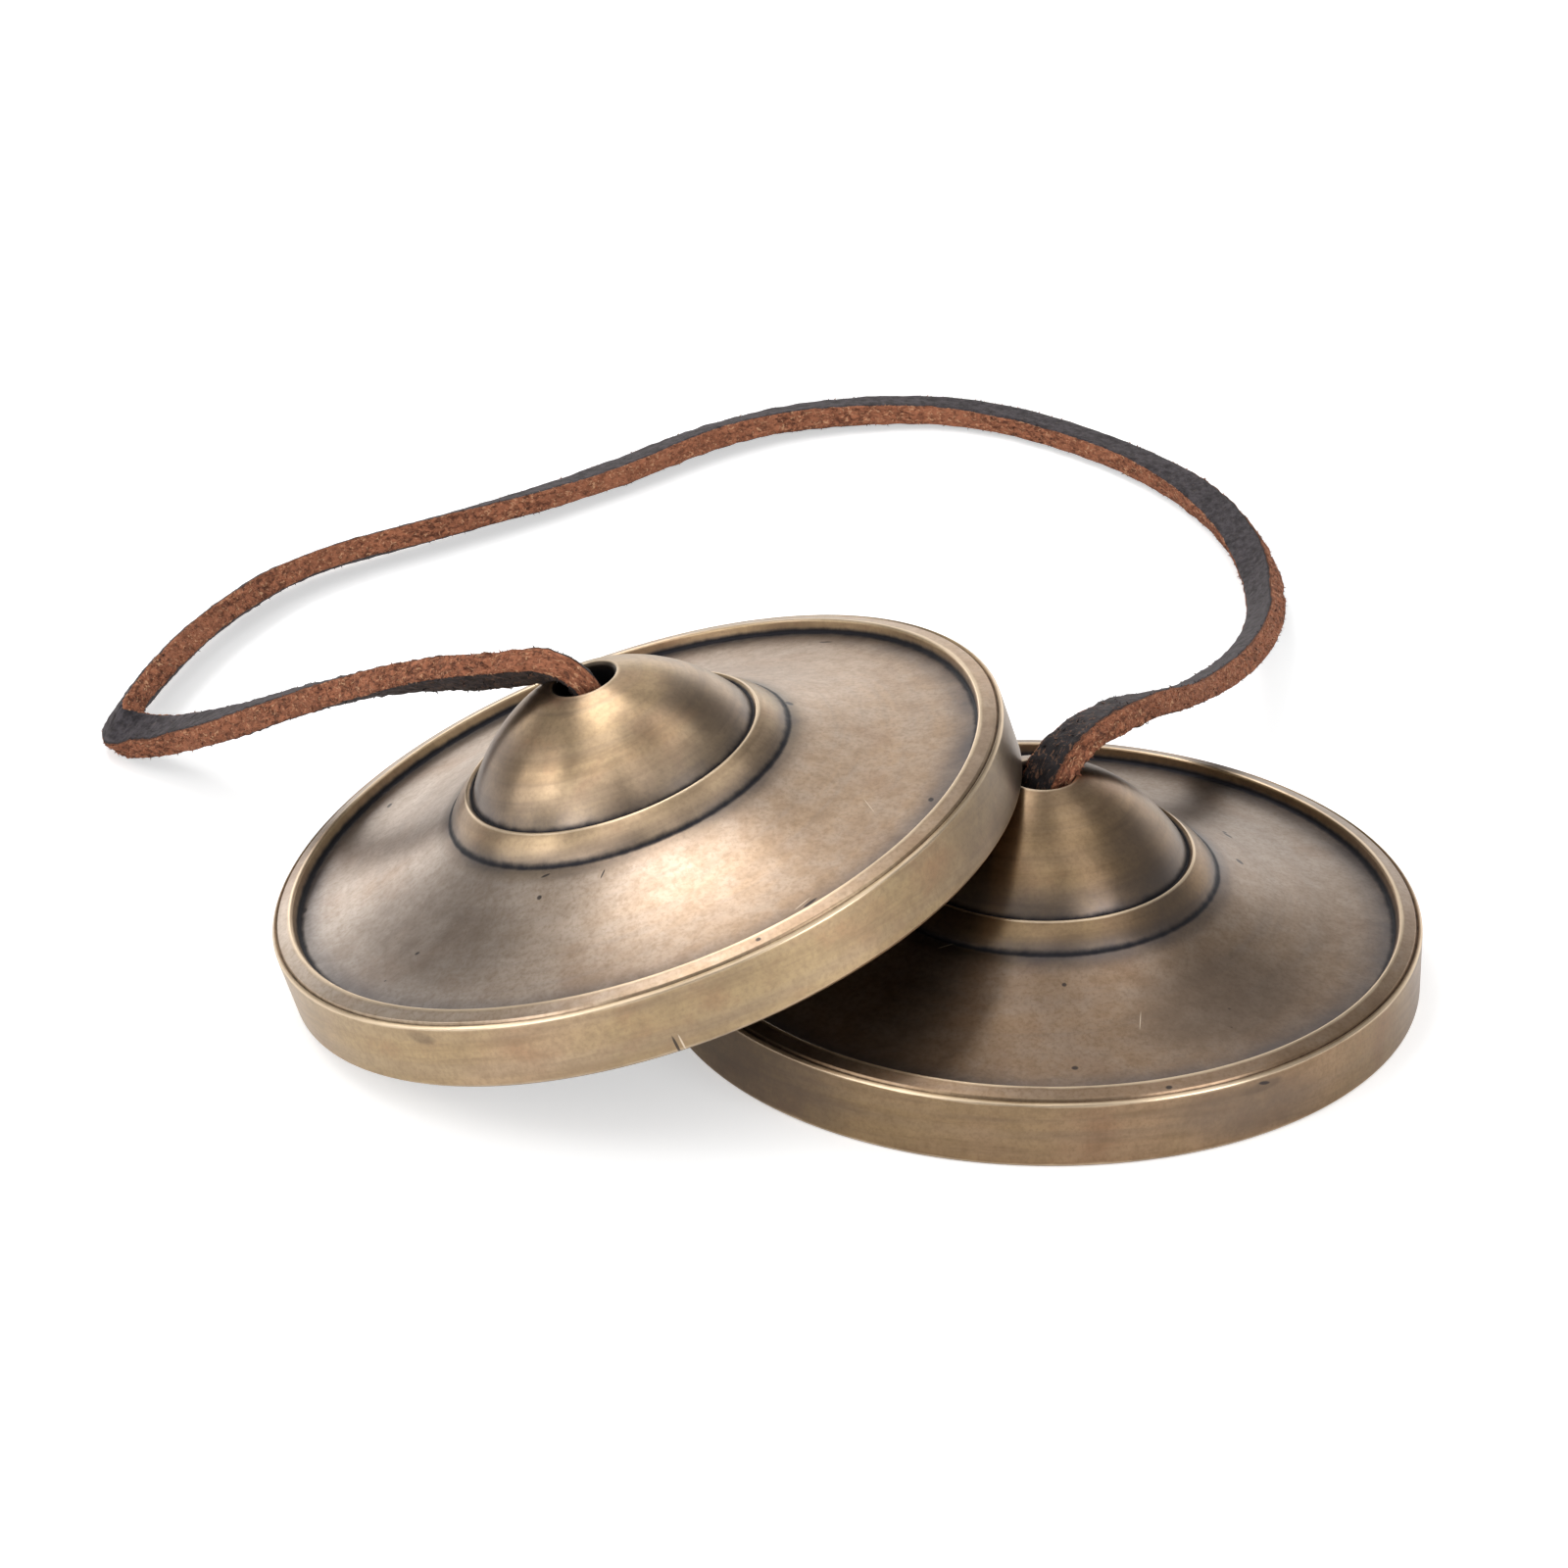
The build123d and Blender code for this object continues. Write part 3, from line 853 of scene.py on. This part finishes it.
# The overhand knot in one cymbal's own frame: angle round its axis, distance from it, height
KNOT_LAY = [
    (0, 0.0, 16.40), (0, 0.0, 15.40), (20, 1.9, 14.50), (90, 2.5, 14.10), (160, 2.6, 13.70),
    (230, 2.6, 13.20), (300, 2.6, 12.60), (370, 2.9, 12.10), (440, 3.3, 12.30), (510, 3.4, 12.90),
    (580, 3.3, 13.30), (640, 2.8, 13.00), (690, 1.8, 11.90), (715, 1.0, 10.60), (18, 0.95, 9.40),
    (20, 1.0, 8.40), (22, 1.1, 7.50),
]
KNOT_STEPS = 14
LEVEL_RUN = 0.3
LOWER_KNOT_SEED = 31
UPPER_KNOT_SEED = 47

# The lace's section, as shares of its width and thickness
FACE_POINTS = 8
EDGE_POINTS = 7
CORNER_EASE = 0.075
EDGE_SWELL = 0.02
EDGE_REACH = 0.44

# How ragged the lace is: the run of points and the size, and how that grows on black edges and faces
RAGGED_RUN = 2
RAGGED_SIZE = 0.014
EDGE_GROWTH = 1.6
FACE_GROWTH = 2.4

# The nap on the lace: fibres and frays to the square metre, their size and how much longer a fray is
FIBRES = 4.6e6
FRAYS = 0.4e6
FIBRE_LENGTH = 0.25
FIBRE_THICKNESS = 0.055
FRAY_GROWTH = 1.5
NAP_SEED = 5
FIBRE_LEAN = (1.1, 1.1, 3.1)
FIBRE_SIZES = (0.45, 1.35)


def spline_points(points, resolution):
    """The points of one smooth NURBS curve along a route's control points."""
    data = bpy.data.curves.new("route", "CURVE")
    data.dimensions = "3D"
    line = data.splines.new("NURBS")
    line.points.add(len(points) - 1)
    for made, at in zip(line.points, points):
        made.co = (*at, 1.0)
    line.order_u = 3
    line.use_endpoint_u = True
    line.resolution_u = resolution
    holder = bpy.data.objects.new("route", data)
    mesh = bpy.data.meshes.new_from_object(holder)
    found = np.array([v.co for v in mesh.vertices])
    bpy.data.objects.remove(holder)
    bpy.data.curves.remove(data)
    bpy.data.meshes.remove(mesh)
    return found


def along_route(values, count):
    """Values given at a route's control points, read off at each point of its curve."""
    spans = len(values) - 2
    stations = np.concatenate([[0], np.arange(spans) + 0.5, [spans]])
    return np.interp(np.linspace(0, spans, count), stations, values)


def lengths_along(points):
    """How far each point lies along the line that joins them."""
    return np.concatenate([[0], np.cumsum(np.linalg.norm(np.diff(points, axis=0), axis=1))])


def directions(line):
    ahead = np.gradient(line, axis=0)
    return ahead / np.linalg.norm(ahead, axis=1)[:, None]


def square_to(ahead, way):
    way = way - ahead * (way @ ahead)
    return way / np.linalg.norm(way)


def edge_directions(line, turn_up):
    """Which way the lace's left-hand edge faces at each point, from how far it is turned up there."""
    ahead = directions(line)
    left = np.cross((0, 0, 1), ahead)
    steep = np.linalg.norm(left, axis=1) < STEEP_RUN
    left /= np.maximum(np.linalg.norm(left, axis=1), 1e-6)[:, None]
    top = np.cross(ahead, left)
    angle = np.radians(turn_up)[:, None]
    edge = left * np.cos(angle) + top * np.sin(angle)
    level = np.flatnonzero(~steep)
    for i in range(level[0] - 1, -1, -1):
        edge[i] = square_to(ahead[i], edge[i + 1])
    for i in range(level[-1] + 1, len(line)):
        edge[i] = square_to(ahead[i], edge[i - 1])
    return edge


def carried_edge(line, first):
    """An edge direction carried along a line without twist."""
    ahead = directions(line)
    edge = [square_to(ahead[0], np.array(first, float))]
    for way in ahead[1:]:
        edge.append(square_to(way, edge[-1]))
    return np.array(edge)


def waver(count, step, seed, size):
    """Smooth random unevenness along a length."""
    rng = np.random.default_rng(seed)
    rough = rng.normal(0, 1, count + 8 * step)
    kernel = np.hanning(2 * step + 1)
    found = np.convolve(rough, kernel / np.sqrt((kernel**2).sum()), "same")[4 * step:4 * step + count]
    return found * size


def lace_section():
    """One rounded rectangle of the lace, 1 wide and 1 thick: across, up, and how much it is a cut edge."""
    half = []
    for k in range(FACE_POINTS):
        share = k / (FACE_POINTS - 1)
        half.append((0.5 - CORNER_EASE - (1 - 2 * CORNER_EASE) * share, 0.5, 0.0))
    for k in range(EDGE_POINTS):
        swell = EDGE_SWELL * math.sin(math.pi * (k + 1) / (EDGE_POINTS + 1))
        half.append((-0.5 - swell, EDGE_REACH - 2 * EDGE_REACH * k / (EDGE_POINTS - 1), 1.0))
    return np.array(half + [(-across, -up, cut) for across, up, cut in half])


def raggedness(count, around, seed, growth):
    """Fine unevenness at each point round each section of a lace, times how much it has grown there."""
    fine = [waver(count, RAGGED_RUN, seed + k, RAGGED_SIZE) for k in range(around)]
    return np.stack(fine, 1) * growth[:, None]


def uneven_section(section, count, blackened, seed):
    """The section at each point of a lace, across and up: wavering, ragged at its cut edges and lumpy."""
    around = len(section)
    side, top, cut = section.T
    across = np.tile(side, (count, 1))
    upward = np.tile(top, (count, 1))
    for k, sign in enumerate((1, -1)):
        wide = waver(count, 14, seed + k, 0.016) + waver(count, 3, seed + 5 + k, 0.012)
        across[:, np.sign(side) == sign] *= (1 + wide)[:, None]
    upward *= (1 + waver(count, 18, seed + 9, 0.022) + waver(count, 4, seed + 10, 0.014))[:, None]
    ragged = raggedness(count, around, seed + 20, 1 + EDGE_GROWTH * blackened)
    lumps = raggedness(count, around, seed + 60, 1 + FACE_GROWTH * blackened)
    across += ragged * np.sign(side) * cut
    upward += lumps * np.sign(top) * (1 - cut)
    return across, upward


def lace_mesh(name, line, edge, width, thickness, blackened, seed):
    """A flat lace along a line; its width, its thickness and how black it is are given at each point."""
    section = lace_section()
    around = len(section)
    count = len(line)
    across, upward = uneven_section(section, count, blackened, seed)
    face = np.cross(directions(line), edge)
    spots = (line[:, None] + edge[:, None] * (across * width[:, None])[..., None]
             + face[:, None] * (upward * thickness[:, None])[..., None])
    faces = []
    for i in range(count - 1):
        for k in range(around):
            n = (k + 1) % around
            faces.append((i * around + k, i * around + n, (i + 1) * around + n, (i + 1) * around + k))
    faces += [tuple(range(around))[::-1], tuple(range((count - 1) * around, count * around))]
    mesh = bpy.data.meshes.new(name)
    mesh.from_pydata((spots.reshape(-1, 3) * MM).tolist(), [], faces)
    along = lengths_along(line)
    girth = lengths_along(section[:, :2] * (LACE_WIDTH, LACE_THICKNESS))
    lay = np.stack(np.broadcast_arrays(along[:, None], girth[None], np.full((1, 1), float(seed))), 2) * MM
    laid = mesh.attributes.new("lace", "FLOAT_VECTOR", "POINT")
    laid.data.foreach_set("vector", lay.astype(np.float32).ravel())
    give_values(mesh, {
        "cut_edge": np.tile(section[:, 2], count),
        "blackened": np.repeat(blackened, around),
    })
    mesh.update()
    face_outwards(mesh)
    return mesh


def stand_fibres(tree, given, fibre, mask, density, growth=None):
    """Fibres on a lace, as thick together as one of its painted numbers says, and grown if that is asked."""
    link = tree.links.new
    where = add_node(tree, "GeometryNodeInputNamedAttribute", data_type="FLOAT", inputs={"Name": mask})
    roots = then(tree, given["Lace"], "GeometryNodeDistributePointsOnFaces", distribute_method="RANDOM")
    link(sums(tree, "MULTIPLY", where.outputs[0], given[density]), roots.inputs["Density"])
    lean = add_node(tree, "FunctionNodeRandomValue", data_type="FLOAT_VECTOR",
                    inputs={0: tuple(-v for v in FIBRE_LEAN), 1: FIBRE_LEAN})
    size = add_node(tree, "FunctionNodeRandomValue", data_type="FLOAT",
                    inputs={2: FIBRE_SIZES[0], 3: FIBRE_SIZES[1]})
    for drawn in (roots, lean, size):
        link(given["Seed"], drawn.inputs["Seed"])
    turn = then(tree, lean.outputs[0], "FunctionNodeEulerToRotation")
    aimed = then(tree, roots.outputs["Rotation"], "FunctionNodeRotateRotation", rotation_space="LOCAL")
    link(turn.outputs[0], aimed.inputs["Rotate By"])
    scale = sums(tree, "MULTIPLY", size.outputs[1], given[growth]) if growth else size.outputs[1]
    stood = then(tree, roots.outputs["Points"], "GeometryNodeInstanceOnPoints")
    link(fibre, stood.inputs["Instance"])
    link(aimed.outputs[0], stood.inputs["Rotation"])
    link(scale, stood.inputs["Scale"])
    return stood.outputs[0]


def nap_tree():
    """Stands short loose fibres on a lace: a fine nap on its cut edges, and longer frays where it is
    blackened.
    """
    tree, link, given = new_tree("SuedeNap", "Napped Lace", {
        "Lace": ("Geometry", None),
        "Fibres per Square Metre": ("Float", 1000.0),
        "Frays per Square Metre": ("Float", 100.0),
        "Fibre Length": ("Float", 0.0005),
        "Fibre Thickness": ("Float", 0.0001),
        "Fray Growth": ("Float", 2.0),
        "Seed": ("Int", 1),
        "Leather": ("Material", None),
    })
    cone = add_node(tree, "GeometryNodeMeshCone", fill_type="NGON", inputs={"Vertices": 3, "Radius Top": 0.0})
    link(given["Fibre Thickness"], cone.inputs["Radius Bottom"])
    link(given["Fibre Length"], cone.inputs["Depth"])
    fibre = cone.outputs["Mesh"]
    whole = then(tree, given["Lace"], "GeometryNodeJoinGeometry")
    fibres = stand_fibres(tree, given, fibre, "cut_edge", "Fibres per Square Metre")
    frays = stand_fibres(tree, given, fibre, "blackened", "Frays per Square Metre", "Fray Growth")
    for coat in (fibres, frays):
        link(coat, whole.inputs[0])
    end_tree(tree, whole.outputs[0], given["Leather"])
    return tree


def napped(name, mesh, tree, leather, seed):
    return run_tree(name, mesh, tree, {
        "Fibres per Square Metre": FIBRES, "Frays per Square Metre": FRAYS, "Fibre Length": FIBRE_LENGTH * MM,
        "Fibre Thickness": FIBRE_THICKNESS * MM, "Fray Growth": FRAY_GROWTH, "Seed": seed, "Leather": leather,
    })


def tie_knot(node, body, foot, axis, tree, leather, seed):
    """The lace's end, tied in an overhand knot under a dome, with its cut tail."""
    right = np.array([axis[2], 0.0, -axis[0]])
    back = np.cross(axis, right)
    points = []
    for angle, away, height in KNOT_LAY:
        a = math.radians(angle)
        points.append(foot + right * away * math.cos(a) + back * away * math.sin(a) + axis * height)
    line = spline_points(points, KNOT_STEPS)
    edge = carried_edge(line, right)
    ahead = directions(line)
    level = np.linalg.norm(ahead - np.outer(ahead @ axis, axis), axis=1)
    for i in np.flatnonzero(level > LEVEL_RUN):
        edge[i] = square_to(ahead[i], edge[i] * (1 - level[i]) + axis * level[i])
    width, thickness, black = [np.full(len(line), v) for v in (KNOT_WIDTH, KNOT_THICKNESS, KNOT_BLACK)]
    name = node + "_tied"
    lace = lace_mesh(name + "_lace", line, edge, width, thickness, black, seed)
    piece = place(name, napped(name, lace, tree, leather, seed))
    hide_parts(node)
    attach(piece, body)
    return piece


# Scene pieces

turning = turning_tree()
make_cymbal("lower_cymbal", LOWER_FOOT, 0.0, bronze("bronze_lower", LOWER_BRONZE), turning)
make_cymbal("upper_cymbal", UPPER_FOOT, LEAN, bronze("bronze_upper", UPPER_BRONZE), turning)

upper_foot_mm = np.array(UPPER_FOOT) / MM
upper_axis = np.array(UPPER_AXIS)
lower_foot_mm = np.array(LOWER_FOOT) / MM
upright = np.array([0.0, 0.0, 1.0])
aside = np.array([*LOWER_MOUTH_ASIDE, 0.0])
route = [
    upper_foot_mm + upper_axis * KNOT_TOP,
    upper_foot_mm + upper_axis * MOUTH_CORNER,
    *[np.array([AXIS_X + x, y, z]) for x, y, z, _, _, _ in THONG_LAY],
    lower_foot_mm + upright * MOUTH_CORNER + aside,
    lower_foot_mm + upright * KNOT_TOP + aside * KNOT_ASIDE,
]
thong_line = spline_points(route, THONG_STEPS)
stations = [THONG_LAY[0], THONG_LAY[0], *THONG_LAY, THONG_LAY[-1], THONG_LAY[-1]]
turn_up, lace_width, lace_thick = [
    along_route([station[k] for station in stations], len(thong_line)) for k in (3, 4, 5)
]
thong_edge = edge_directions(thong_line, turn_up)
gone = lengths_along(thong_line)
THONG_LENGTH = gone[-1]
to_go = THONG_LENGTH - gone
# Black near both ends from handling; near the upper end it is also painted shade on the lace's underside
upper_black = np.exp(-((gone / UPPER_BLACK_REACH) ** 2)) * UPPER_BLACK
blackened = upper_black + np.exp(-((to_go / LOWER_BLACK_REACH) ** 2))

leather = lace_leather("thong_leather")
nap = nap_tree()
plain_lace = lace_mesh("plain_lace", thong_line, thong_edge, lace_width, lace_thick, blackened, THONG_SEED)
thong = place("thong_lace", napped("thong_lace", plain_lace, nap, leather, NAP_SEED))
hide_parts("thong")
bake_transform(thong)
lower_knot = tie_knot("lower_knot", "thong", lower_foot_mm, upright, nap, leather, LOWER_KNOT_SEED)
upper_knot = tie_knot("upper_knot", "upper_end", upper_foot_mm, upper_axis, nap, leather, UPPER_KNOT_SEED)


# Floor, light and camera

# The table's white paper: its half side in metres, its tone, and how it glows to the camera and in metal
FLOOR_HALF = 4.0
FLOOR_PAPER = 0.80
FLOOR_SEEN = 0.50
FLOOR_IN_METAL = 0.24

# The room's own light, and the backdrop's: where it fades to the sides and upwards
ROOM_LIGHT = 0.32
BACKDROP_LIGHT = 1.10
BACKDROP_SIDES = (0.30, 0.95)
BACKDROP_TOP = (0.15, 0.55)

# Softboxes a metre from the object: azimuth (0 behind it, 90 to its right), elevation, side, brightness
SOFTBOX_DISTANCE = 1.0
SOFTBOXES = {
    "key": (-42, 64, 0.42, 4.1),
    "top_right": (62, 68, 0.35, 1.3),
    "left": (-102, 31, 0.25, 4.0),
    "over_camera": (180, 62, 0.30, 1.6),
    "top_left_front": (-120, 66, 0.42, 1.46),
    "top_right_front": (120, 66, 0.42, 0.66),
    "left_front": (-135, 42, 0.50, 1.16),
    "right_front": (135, 42, 0.50, 0.74),
    "behind": (0, 42, 0.50, 0.64),
    "low_left_front": (-135, 18, 0.42, 3.45),
    "low_left": (-90, 18, 0.42, 1.5),
    "low_left_behind": (-26, 10, 0.30, 1.0),
    "low_right_front": (135, 18, 0.42, 5.1),
}


def floor():
    """White paper that the camera and the metal see as white, with the object's shadow on it."""
    mesh = bpy.data.meshes.new("table")
    corners = [(x * FLOOR_HALF, y * FLOOR_HALF, 0) for x, y in ((-1, -1), (1, -1), (1, 1), (-1, 1))]
    mesh.from_pydata(corners, [], [(0, 1, 2, 3)])
    piece = place("table", mesh)
    made, tree, link = new_material("white_table")
    tone = (FLOOR_PAPER, FLOOR_PAPER, FLOOR_PAPER, 1)
    paper = add_node(tree, "ShaderNodeBsdfDiffuse", inputs={"Color": tone})
    glow = add_node(tree, "ShaderNodeEmission", inputs={"Color": (1, 1, 1, 1)})
    path = add_node(tree, "ShaderNodeLightPath")
    seen = sums(tree, "MAXIMUM", path.outputs["Is Camera Ray"], path.outputs["Is Transmission Ray"])
    mirrored = sums(tree, "MULTIPLY", path.outputs["Is Glossy Ray"], FLOOR_IN_METAL)
    link(sums(tree, "MULTIPLY_ADD", seen, FLOOR_SEEN, mirrored), glow.inputs["Strength"])
    both = add_node(tree, "ShaderNodeAddShader")
    link(paper.outputs[0], both.inputs[0])
    link(glow.outputs[0], both.inputs[1])
    out = add_node(tree, "ShaderNodeOutputMaterial")
    link(both.outputs[0], out.inputs[0])
    mesh.materials.append(made)


def softbox(name, azimuth, elevation, side, brightness):
    """A square soft lamp that faces the object."""
    a, e = math.radians(azimuth), math.radians(elevation)
    way = Vector((math.sin(a) * math.cos(e), math.cos(a) * math.cos(e), math.sin(e)))
    lamp = bpy.data.lights.new(name, "AREA")
    lamp.shape = "SQUARE"
    lamp.size = side
    lamp.energy = brightness * math.pi * side * side
    made = bpy.data.objects.new(name, lamp)
    made.location = way * SOFTBOX_DISTANCE
    made.rotation_euler = way.to_track_quat("Z", "Y").to_euler()
    bpy.context.scene.collection.objects.link(made)


def studio_world():
    """A dim room whose white backdrop shows behind the object, near the horizon."""
    world = bpy.data.worlds.new("studio")
    world.use_nodes = True
    tree = world.node_tree
    tree.nodes.clear()
    link = tree.links.new
    way = add_node(tree, "ShaderNodeTexCoord")
    parts = add_node(tree, "ShaderNodeSeparateXYZ")
    link(way.outputs["Generated"], parts.inputs[0])
    behind = spread(tree, parts.outputs["Y"], *BACKDROP_SIDES)
    low = spread(tree, parts.outputs["Z"], *BACKDROP_TOP, 1.0, 0.0)
    backdrop = sums(tree, "MULTIPLY", behind, low)
    level = sums(tree, "MULTIPLY_ADD", backdrop, BACKDROP_LIGHT, ROOM_LIGHT)
    path = add_node(tree, "ShaderNodeLightPath")
    seen = path.outputs["Is Camera Ray"]
    unseen = sums(tree, "SUBTRACT", 1.0, seen)
    back = add_node(tree, "ShaderNodeBackground", inputs={"Color": (1, 1, 1, 1)})
    link(sums(tree, "MULTIPLY_ADD", level, unseen, seen), back.inputs["Strength"])
    out = add_node(tree, "ShaderNodeOutputWorld")
    link(back.outputs[0], out.inputs[0])
    bpy.context.scene.world = world


def photo_camera():
    """The camera that sees the object as the photograph does."""
    camera = bpy.data.cameras.new("camera")
    camera.lens = CAMERA_LENS
    camera.sensor_width = CAMERA_SENSOR
    camera.clip_start = 0.01
    camera.clip_end = 50.0
    piece = bpy.data.objects.new("camera", camera)
    piece.location = Vector(CAMERA_AT) * MM
    piece.rotation_euler = (math.radians(90 - CAMERA_DOWN), 0, 0)
    bpy.context.scene.collection.objects.link(piece)
    bpy.context.scene.camera = piece


floor()
studio_world()
for lamp_name, lamp_values in SOFTBOXES.items():
    softbox(lamp_name, *lamp_values)
photo_camera()
bpy.context.scene.view_settings.view_transform = "Standard"
